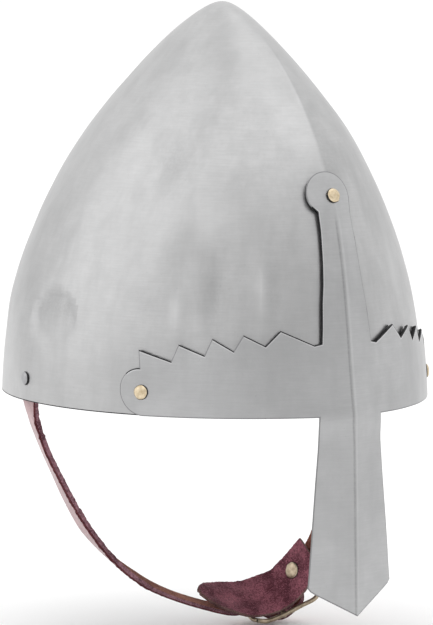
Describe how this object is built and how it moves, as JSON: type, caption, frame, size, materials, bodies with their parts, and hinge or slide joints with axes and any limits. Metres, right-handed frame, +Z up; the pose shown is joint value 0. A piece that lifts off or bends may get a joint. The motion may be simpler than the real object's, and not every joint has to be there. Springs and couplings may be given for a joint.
{
  "type": "nasal helmet",
  "caption": "Pointed, ridged steel helmet with a riveted saw-edged brow plate, a stem, a straight nose guard and a buckled leather chin strap.",
  "frame": {"origin": "middle of the head opening, in the plane of the rim, where the head carries the helmet", "axes": "+Z up, -Y the way the wearer faces, +X to the wearer's left"},
  "size_m": [0.2064, 0.2435, 0.3235],
  "materials": {
    "skull_steel": "soft satin polish with faint brushing",
    "plate_steel": "satin, a little darker than the skull",
    "rivet_brass": "satin domes",
    "rivet_steel": "satin domes",
    "strap_leather": "smooth reddish-brown grain outside, fuzzy edges and inside",
    "chafe_suede": "burgundy suede",
    "buckle_brass": "pale dull plating"
  },
  "bodies": {
    "root": {"skull": "skull_steel", "brow_plate": "plate_steel", "rivet_stem": "rivet_brass", "rivet_brow_right": "rivet_brass", "rivet_brow_left": "rivet_brass", "rivet_strap_right": "rivet_steel", "rivet_strap_left": "rivet_steel", "strap_long": "strap_leather", "strap_short": "strap_leather", "chafe": "chafe_suede", "rivet_chafe": "buckle_brass", "buckle_frame": "buckle_brass", "buckle_tongue": "buckle_brass"}
  },
  "joints": []
}
